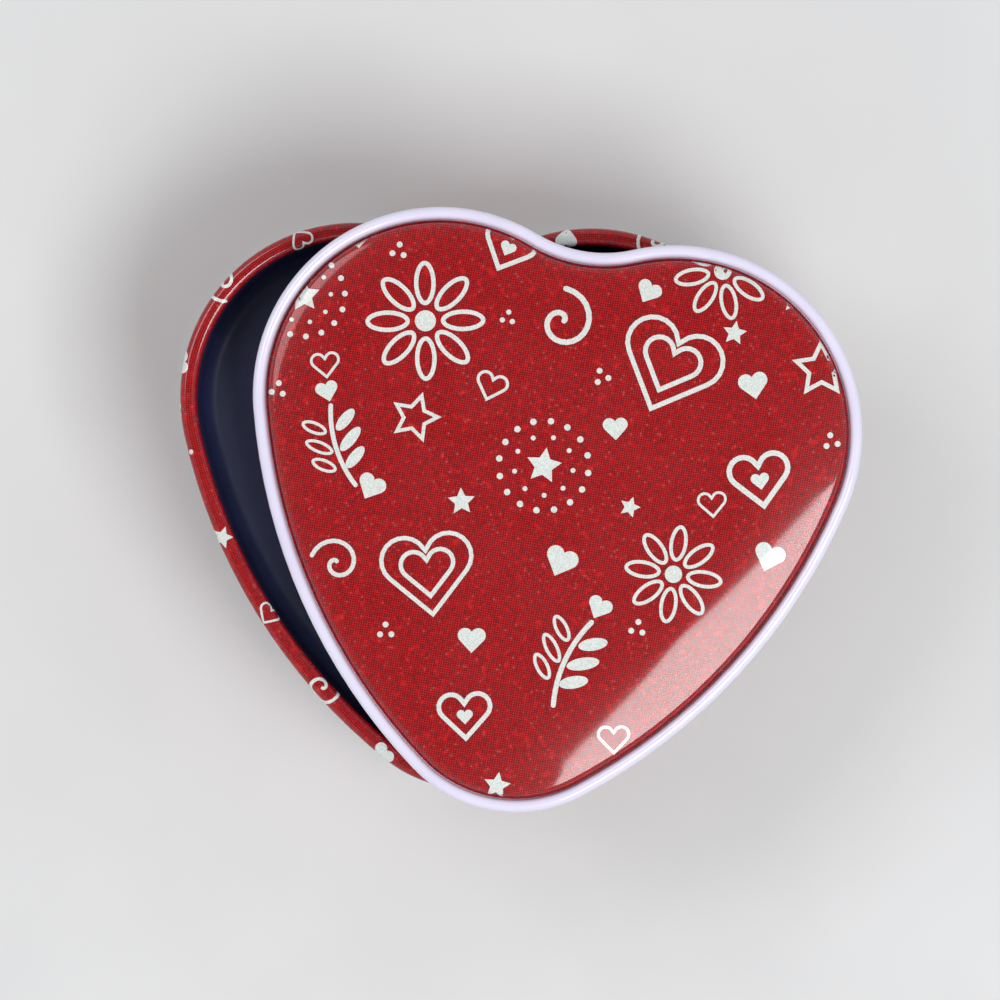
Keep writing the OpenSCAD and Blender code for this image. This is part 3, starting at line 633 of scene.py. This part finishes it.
# Lines left by a tool or a roller: noise that is long one way and fine across it
streaks, given, out = new_group(
    "streaks", {"Place": "Vector", "Stretch": "Vector", "Size": "Float"}, {"Value": "Float"})
drawn = add(streaks, "VectorMath", {0: given["Place"], 1: given["Stretch"]},
            operation="MULTIPLY").outputs[0]
lines = add(streaks, "TexNoise", {"Vector": drawn, "Detail": 2.0,
                                  "Scale": calc(streaks, "DIVIDE", 1.0, given["Size"])})
streaks.links.new(ramp(streaks, lines.outputs["Fac"], 0.32, 0.68), out["Value"])


def metal(name, dull, bright, smooth, rough, effect, depth, **given):
    """A bare metal: tool marks from the named effect, under a slow drift of tone."""
    made, tree, skin, spot = new_material(name, metallic=1.0)
    marks = placed(tree, effect, dict(given, Place=spot))[0]
    drift = varied(tree, spot, 5.0, 0.0, 0.75)
    tone = calc(tree, "MULTIPLY_ADD", marks, 0.25, drift)
    tree.links.new(blend(tree, tone, colour(*dull), colour(*bright)), skin.inputs["Base Color"])
    tree.links.new(ramp(tree, marks, 0, 1, smooth, rough), skin.inputs["Roughness"])
    bumped(tree, skin, marks, depth)
    return made


tin = metal("plain_tin", (190, 191, 193), (200, 201, 203), 0.3, 0.35, streaks, 0.0012,
            Stretch=(1.0, 0.03, 1.0), Size=0.5)
dressed(bottom, tin)
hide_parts("bottom_plate")
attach(bottom, "case")


# ---- Bedplate and its screws ----
# A zinc die casting that carries the whole movement: bearing posts, the comb's pedestal and
# three pillars. Its edges keep the soft draft of the mould. Nickelled screws hold it down.

def eased(node, name, edge, finish, body, steps=2, sharp=30):
    """A piece made from a solid of the drawing: skin merged, flat faces cleared of their
    triangles, and every sharp edge eased by this much."""
    piece = bpy.data.objects.new(name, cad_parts[node].data.copy())
    bpy.context.collection.objects.link(piece)
    only(piece)
    pick(piece, lambda v: True)
    bpy.ops.mesh.customdata_custom_splitnormals_clear()
    bpy.ops.mesh.remove_doubles(threshold=0.000002)
    bpy.ops.mesh.dissolve_limited(angle_limit=radians(0.6))
    bpy.ops.object.mode_set(mode="OBJECT")
    if edge:
        finish_with(piece, "BEVEL", width=edge * MM, segments=steps, limit_method="ANGLE",
                    angle_limit=radians(sharp), use_clamp_overlap=True)
    only(piece)
    bpy.ops.object.shade_smooth_by_angle(angle=radians(max(sharp, 32)))
    dressed(piece, finish)
    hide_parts(node)
    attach(piece, body)
    return piece


zinc = metal("cast_zinc", (133, 135, 139), (160, 162, 165), 0.4, 0.56, streaks, 0.012,
             Stretch=(1.0, 1.0, 1.0), Size=0.3)
nickel = metal("screw_steel", (166, 165, 160), (198, 197, 192), 0.16, 0.3, streaks, 0.002,
               Stretch=(1.0, 1.0, 0.2), Size=0.25)
eased("bedplate", "bedplate_cast", 0.22, zinc, "case")
eased("bedplate_screws", "bedplate_screws_slotted", 0.16, nickel, "case")


# ---- Drive wheel and its clutch ----
# A turned brass wheel with a crown of face teeth, which the spring drives. A close coil of
# steel wire grips its hub one way only, so that the key can be wound without turning it.

# Rings left by turning, round any centre on the axis
turned_rings, given, out = new_group(
    "turned_rings", {"Place": "Vector", "Centre": "Vector", "Size": "Float"},
    {"Value": "Float"})
from_centre = add(turned_rings, "VectorMath", {0: given["Place"], 1: given["Centre"]},
                  operation="DISTANCE").outputs["Value"]
ring_place = add(turned_rings, "CombineXYZ", {"X": from_centre}).outputs[0]
rings = add(turned_rings, "TexNoise", {"Vector": ring_place, "Detail": 2.0,
                                       "Scale": calc(turned_rings, "DIVIDE", 1.0,
                                                     given["Size"])})
turned_rings.links.new(ramp(turned_rings, rings.outputs["Fac"], 0.32, 0.68), out["Value"])

drive_brass = metal("drive_brass", (178, 140, 74), (206, 168, 98), 0.2, 0.38, turned_rings,
                    0.004, Centre=(*arbor_at, 16.0), Size=0.14)
eased("drive_wheel", "drive_wheel_turned", 0.07, drive_brass, "drive", sharp=40)

wire, coil_r, coil_turns, coil_z = 0.6, 4.0, 5, 17.2
blued = metal("spring_steel", (58, 66, 92), (84, 92, 116), 0.22, 0.36, streaks, 0.002,
              Stretch=(0.2, 0.2, 1.0), Size=0.12)
bpy.ops.object.select_all(action="DESELECT")
bpy.ops.mesh.primitive_circle_add(vertices=14, radius=wire / 2 * MM,
                                  location=(coil_r * MM, 0, 0), rotation=(pi / 2, 0, 0))
coil = bpy.context.object
coil.name = coil.data.name = "clutch_coil"
bpy.ops.object.transform_apply(location=True, rotation=True, scale=True)
finish_with(coil, "SCREW", axis="Z", steps=36, render_steps=36, iterations=coil_turns,
            screw_offset=wire * 1.03 * MM, angle=2 * pi)
pick(coil, lambda v: True)
bpy.ops.mesh.remove_doubles(threshold=0.000005)
bpy.ops.mesh.fill_holes(sides=20)
bpy.ops.mesh.select_all(action="SELECT")
bpy.ops.mesh.normals_make_consistent(inside=False)
bpy.ops.object.mode_set(mode="OBJECT")
bpy.ops.object.shade_smooth_by_angle(angle=radians(50))
settle(coil, (*arbor_at, coil_z))
dressed(coil, blued)
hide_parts("clutch_spring")
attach(coil, "drive")


# ---- Mainspring and its housing ----
# A blued steel ribbon coiled in a drawn tinplate cap. Three ears of the cap lie on the
# bedplate's pillars under slotted screws, and its middle is the arbor's upper bearing.

eased("mainspring", "mainspring_ribbon", 0.05, blued, "case", sharp=40)
drawn_cap = metal("drawn_cap", (170, 172, 176), (188, 190, 193), 0.27, 0.34, turned_rings,
                  0.0015, Centre=(*arbor_at, 28.4), Size=0.35)
eased("spring_housing", "spring_housing_drawn", 0.3, drawn_cap, "case", steps=3)
eased("housing_screws", "housing_screws_slotted", 0.14, nickel, "case")


# ---- Winding arbor and key ----
# A ground steel arbor runs down from the mainspring through the bottom. A pressed brass key
# with two pierced wings is fixed on its end; its brass is dull and bright in soft random patches.

steel = metal("arbor_steel", (142, 145, 150), (176, 178, 182), 0.18, 0.32, turned_rings,
              0.003, Centre=(*arbor_at, 5.0), Size=0.12)
eased("winding_arbor", "winding_arbor_ground", 0.15, steel, "winder")
rubbed = metal("key_brass", (164, 122, 58), (204, 164, 90), 0.16, 0.34, uneven, 0.004,
               Size=1.6, Low=0.0, High=1.0)
eased("winding_key", "winding_key_pressed", 0.32, rubbed, "winder", steps=4)


# ---- Pinned cylinder ----
# A brass drum set with fine steel pins, one row to a note, on a steel arbor. A moulded
# nylon pinion meets the face teeth at one end, and a nylon wheel at the other drives on.

drum_mid = (arbor_at[0] + 25.2, arbor_at[1], 23.6)
drum_brass = metal("drum_brass", (196, 158, 84), (222, 184, 110), 0.12, 0.26, turned_rings,
                   0.003, Centre=drum_mid, Size=0.1)
eased("cylinder_drum", "cylinder_drum_turned", 0.12, drum_brass, "cylinder")
drawn_wire = metal("pin_steel", (170, 172, 176), (196, 198, 200), 0.2, 0.34, uneven, 0.001,
                   Size=0.2, Low=0.0, High=1.0)
eased("cylinder_pins", "cylinder_pins_set", 0.05, drawn_wire, "cylinder",
      steps=1, sharp=50)
eased("cylinder_arbor", "cylinder_arbor_ground", 0.12, steel, "cylinder")

nylon, tree, skin, spot = new_material("white_nylon", roughness=0.42, ior=1.53,
                                       subsurface_weight=0.15, subsurface_scale=0.0008)
haze = varied(tree, spot, 1.8)
tree.links.new(blend(tree, haze, colour(232, 228, 214), colour(240, 237, 226)),
               skin.inputs["Base Color"])
tree.links.new(ramp(tree, haze, 0, 1, 0.38, 0.48), skin.inputs["Roughness"])
bumped(tree, skin, varied(tree, spot, 0.15), 0.003)
for gear in ("cylinder_pinion", "cylinder_wheel"):
    eased(gear, gear + "_moulded", 0.05, nylon, "cylinder", sharp=38)


# ---- Comb ----
# One ground and hardened steel plate sawn into teeth, the long bass ones at the left with
# lead under their tips to slow them. Two screws clamp it on the bedplate's pedestal.

ground = metal("comb_steel", (146, 149, 154), (186, 188, 192), 0.2, 0.38, streaks, 0.003,
               Stretch=(0.04, 1.0, 1.0), Size=0.14)
eased("comb", "comb_ground", 0.05, ground, "case", steps=1)
lead = metal("tuning_lead", (92, 93, 97), (118, 119, 122), 0.45, 0.62, uneven, 0.012,
             Size=0.35, Low=0.0, High=1.0)
eased("bass_weights", "bass_weights_cast", 0.12, lead, "case")
eased("comb_screws", "comb_screws_slotted", 0.14, nickel, "case")


# ---- Governor ----
# A bent brass frame, screwed down, carries the second arbor's outer end and the steel worm.
# The worm spins a little nylon vane, and the air that it beats holds the tune to its pace.

frame_brass = metal("governor_brass", (180, 142, 76), (208, 170, 100), 0.22, 0.4, streaks,
                    0.004, Stretch=(1.0, 0.06, 1.0), Size=0.3)
eased("governor_frame", "governor_frame_bent", 0.16, frame_brass, "case")
eased("governor_screws", "governor_screws_slotted", 0.14, nickel, "case")
eased("second_arbor", "second_arbor_ground", 0.1, steel, "second")
for gear in ("second_pinion", "worm_wheel"):
    eased(gear, gear + "_moulded", 0.04, nylon, "second", sharp=38)
eased("worm_shaft", "worm_shaft_cut", 0.03, steel, "governor", steps=1, sharp=45)
eased("air_brake", "air_brake_moulded", 0.1, nylon, "governor")


# ---- Inner tray ----
# A shallow navy tray moulded in satin plastic. Its flange is caught under the rolled rim, and
# its floor hides the movement below.

tray_lip, tray_floor, tray_wall = 43.5, 33, 2.9
draft, fillet, soft, moulded = 6, 3, 1.0, 0.8
bend_z = tray_floor + fillet
bend_out = (-tray_wall - fillet * cos(radians(draft))
            - (tray_lip - bend_z + fillet * sin(radians(draft))) * tan(radians(draft)))
tray_section = (
    [(-0.5, tray_lip)]
    + arc((-tray_wall + soft * (1 - sin(radians(draft))) / cos(radians(draft)), tray_lip - soft),
          soft, 90, 180 - draft, 6)
    + arc((bend_out, bend_z), fillet, -draft, -90, 10))
tray = heart_sheet("tray", tray_section, filled=True, upwards=True)
finish_with(tray, "SOLIDIFY", thickness=moulded * MM, offset=-1, use_even_offset=True)
bpy.ops.object.shade_smooth_by_angle(angle=radians(50))
settle(tray, (*body_place, 0))

navy, tree, skin, spot = new_material("navy_plastic", roughness=0.42, specular_ior_level=0.5)
tint = varied(tree, spot, 14.0)
tree.links.new(blend(tree, tint, colour(38, 43, 76), colour(45, 51, 90)),
               skin.inputs["Base Color"])
pores = varied(tree, spot, 0.22)
tree.links.new(ramp(tree, pores, 0, 1, 0.38, 0.46), skin.inputs["Roughness"])
bumped(tree, skin, pores, 0.006)
dressed(tray, navy)
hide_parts("inner_tray")
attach(tray, "case")


# ---- Lid rim ----
# A drawn tinplate ring, enamelled lavender: a rolled hem at the foot of its skirt, a fat bead
# round the top, and inside that a ledge that the printed panel lies on.

lid_place = (body_place[0] + 15.8, body_place[1] - 2.2, 46.3)
lid_turn = -7.9
skirt, hem, bead, bead_at = 0.9, 0.3, 1.15, (1.0, 10.25)
rim_section = (
    arc((1.2, 0.7), hem, 70, -180, 12)
    + [(skirt, 4), (skirt, 7)]
    + arc(bead_at, bead, -95, 180, 22)
    + [(-0.15, 9.95), (-0.3, 9.8), (-2.9, 9.8)])
rim = heart_sheet("lid_rim_rolled", rim_section)
finish_with(rim, "SOLIDIFY", thickness=sheet * MM, offset=-1, use_even_offset=True,
            material_offset=1)
bpy.ops.object.shade_smooth_by_angle(angle=radians(40))
settle(rim, lid_place, lid_turn)

lavender, tree, skin, spot = new_material(
    "lavender_enamel", roughness=0.3, coat_weight=1.0, coat_roughness=0.06)
cloud = varied(tree, spot, 11.0)
tree.links.new(blend(tree, cloud, colour(223, 218, 242), colour(228, 224, 246)),
               skin.inputs["Base Color"])
ripple = varied(tree, spot, 1.4)
tree.links.new(ramp(tree, ripple, 0, 1, 0.28, 0.34), skin.inputs["Roughness"])
bumped(tree, skin, ripple, 0.006)
dressed(rim, lavender, bare)
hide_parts("lid_rim")
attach(rim, "lid")


# ---- Lid panel ----
# The domed top: the same printed tinplate as the wall, with a small upright edge, a tight
# shoulder, a slow crown and a flat middle, pressed down inside the rim's bead.

# Its upright edge, the radius of its shoulder, how far over that turns, and the crown's radius
foot_out, foot_z, edge_up, sunk = -0.8, 10.2, 0.79, 0.035
press, press_turn, crown = 1.1, 80, 86.4
over, rise = cos(radians(press_turn)), sin(radians(press_turn))
press_at = (foot_out - press, foot_z + edge_up - sunk)
press_end = (press_at[0] + press * over, press_at[1] + press * rise)
crown_at = (press_end[0] - crown * over, press_end[1] - crown * rise)
panel_section = (
    [(-0.35, foot_z - sunk), (foot_out, foot_z - sunk)]
    + arc(press_at, press, 0, press_turn, 12)
    + arc(crown_at, crown, press_turn + 1, 90, 14))
panel = heart_sheet("printed_panel", panel_section, filled=True, upwards=True)
finish_with(panel, "SOLIDIFY", thickness=sheet * MM, offset=-1, use_even_offset=True,
            material_offset=1)
bpy.ops.object.shade_smooth_by_angle(angle=radians(40))
settle(panel, lid_place, lid_turn)

panel_print, tree, skin, spot = new_material(
    "printed_panel", roughness=0.38, specular_ior_level=0.12, coat_weight=1.0,
    coat_roughness=0.065)
turned = add(tree, "Mapping", {"Vector": spot, "Rotation": (0, 0, radians(-lid_turn))}).outputs[0]
pattern = placed(tree, cloth, {"Place": turned, "Thread": 0.44})
tree.links.new(pattern["Color"], skin.inputs["Base Color"])
tree.links.new(varied(tree, spot, 9.0, 0.3, 0.4), skin.inputs["Roughness"])
bumped(tree, skin, pattern["Weave"], 0.004)
dressed(panel, panel_print, bare)
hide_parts("lid_panel")
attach(panel, "lid")


def on_panel(x, y):
    """Carries a spot of the flat drawing down onto the panel, and stops it at the foot."""
    gap, run, way = wall_at(x, y)
    if gap > foot_out:
        x, y = x - way[0] * (gap - foot_out), y - way[1] * (gap - foot_out)
        gap = foot_out
    if gap > press_end[0]:
        z = press_at[1] + sqrt(max(0, press ** 2 - (gap - press_at[0]) ** 2))
    elif gap > crown_at[0]:
        z = crown_at[1] + sqrt(crown ** 2 - (gap - crown_at[0]) ** 2)
    else:
        z = crown_at[1] + crown
    return x, y, z


lid_layout = [
    ("daisy", -27, 13, 10, 1.15), ("double_heart", 19, 12, -14, 1.1),
    ("dotted_ring", -1, -10, 0, 1.1), ("sprig", -40, -12, 24, 1.0),
    ("open_heart", 39, -6, 18, 1.15), ("daisy", 26, -26, 0, 0.95),
    ("double_heart", -19, -33, 16, 1.0), ("swirl", -2, 17, 20, 1.2),
    ("open_star", 47, 16, 10, 1.1), ("dotted_ring", -50, 14, 12, 1.0),
    ("sprig", 9, -44, -18, 1.1), ("open_star", -26, -5, -8, 0.95),
    ("daisy", 26, 31, 20, 0.95), ("open_heart", -14, 29, -16, 1.0),
    ("open_heart", -8, -58, 12, 1.0), ("swirl", -36, -34, 100, 0.95),
    ("small_heart", -42, 27, 14, 1.0), ("small_heart", 5, -27, -14, 1.05),
    ("small_heart", 35, 11, 20, 0.95), ("small_heart", -32, -19, -18, 0.9),
    ("small_heart", 11, -1, 12, 0.8), ("small_heart", 43, -20, -10, 1.0),
    ("small_heart", 13, 25, -20, 0.8), ("small_heart", -9, -44, 8, 0.9),
    ("little_heart", -13, 3, -10, 1.0), ("little_heart", 31, -12, 14, 0.9),
    ("little_heart", -44, 2, 16, 0.9), ("little_heart", 20, -58, 10, 1.0),
    ("star", 30, 20, 0, 0.8), ("star", -15, -19, 12, 0.9), ("star", 40, 28, 6, 0.9),
    ("star", 16, -15, -10, 0.7), ("star", 0, -70, 0, 0.9), ("trio", -34, 25, 0, 0.9),
    ("trio", 7, 8, 30, 0.9), ("trio", -25, -45, 10, 0.9), ("trio", 21, -37, 0, 0.9),
    ("trio", 51, 3, 20, 0.9), ("trio", -12, 16, 0, 0.8), ("trio", -52, -4, 0, 0.9)]
lid_ink = printed("lid_drawings", lid_layout, on_panel,
                  lambda x, y: -3.5 < wall_at(x, y)[0] < -0.5)
settle(lid_ink, lid_place, lid_turn)
dressed(lid_ink, white_ink)
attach(lid_ink, "lid")
for drawing in drawings.values():
    bpy.data.objects.remove(drawing)


# ---- Table, light and camera ----
# The box stands on a plain pale table under a pale sky of soft light, with one large square
# lamp, corner first, to the lower right and another to the left, looked at from straight above.

bpy.ops.object.select_all(action="DESELECT")
bpy.ops.mesh.primitive_plane_add(size=6)
table = bpy.context.object
table.name = "table"
bpy.ops.object.mode_set(mode="EDIT")
bpy.ops.mesh.subdivide(number_cuts=8)
bpy.ops.object.mode_set(mode="OBJECT")
table_top, tree, skin, spot = new_material("pale_table", roughness=0.6)
tone = varied(tree, spot, 60.0)
tree.links.new(blend(tree, tone, colour(215, 216, 217), colour(220, 221, 222)),
               skin.inputs["Base Color"])
dressed(table, table_top)

sky = bpy.data.worlds.new("studio")
sky.use_nodes = True
dome = sky.node_tree
upness = add(dome, "SeparateXYZ", {0: add(dome, "TexCoord").outputs["Generated"]}).outputs["Z"]
dome.links.new(ramp(dome, upness, 0.8, 0.99, 0.59, 0.1),
               dome.nodes["Background"].inputs["Strength"])
dome.nodes["Background"].inputs["Color"].default_value = (1, 1, 1, 1)
bpy.context.scene.world = sky


def lamp(name, place, aim, wide, tall, shine, turn=0.0):
    """A square soft lamp, turned in its own plane, whose face is this much brighter than white."""
    light = bpy.data.lights.new(name, "AREA")
    light.shape, light.size, light.size_y = "RECTANGLE", wide, tall
    light.energy = shine * pi * wide * tall
    holder = bpy.data.objects.new(name, light)
    bpy.context.collection.objects.link(holder)
    holder.location = place
    away = [a - p for a, p in zip(aim, place)]
    flat = hypot(away[0], away[1])
    holder.rotation_euler = (Euler((atan2(flat, -away[2]), 0, atan2(away[1], away[0]) - pi / 2))
                             .to_matrix() @ Euler((0, 0, radians(turn))).to_matrix()).to_euler()
    return holder


lamp("right_lamp", (0.425, -0.38, 1.13), (0.04, -0.03, 0.05), 0.52, 0.52, 9.8, 45.0)
lamp("left_lamp", (-0.56, 0.34, 1.0), (0.0, 0.0, 0.05), 0.56, 0.5, 3.3)

eye = bpy.data.cameras.new("eye")
eye.sensor_width, eye.lens = 36, 376.5
eye.clip_start, eye.clip_end = 0.05, 20
camera = bpy.data.objects.new("eye", eye)
bpy.context.collection.objects.link(camera)
camera.location = (-0.00314, 0.00188, 2.0)
camera.rotation_euler = (0, 0, radians(1.37))
bpy.context.scene.camera = camera
bpy.context.scene.view_settings.view_transform = "Standard"
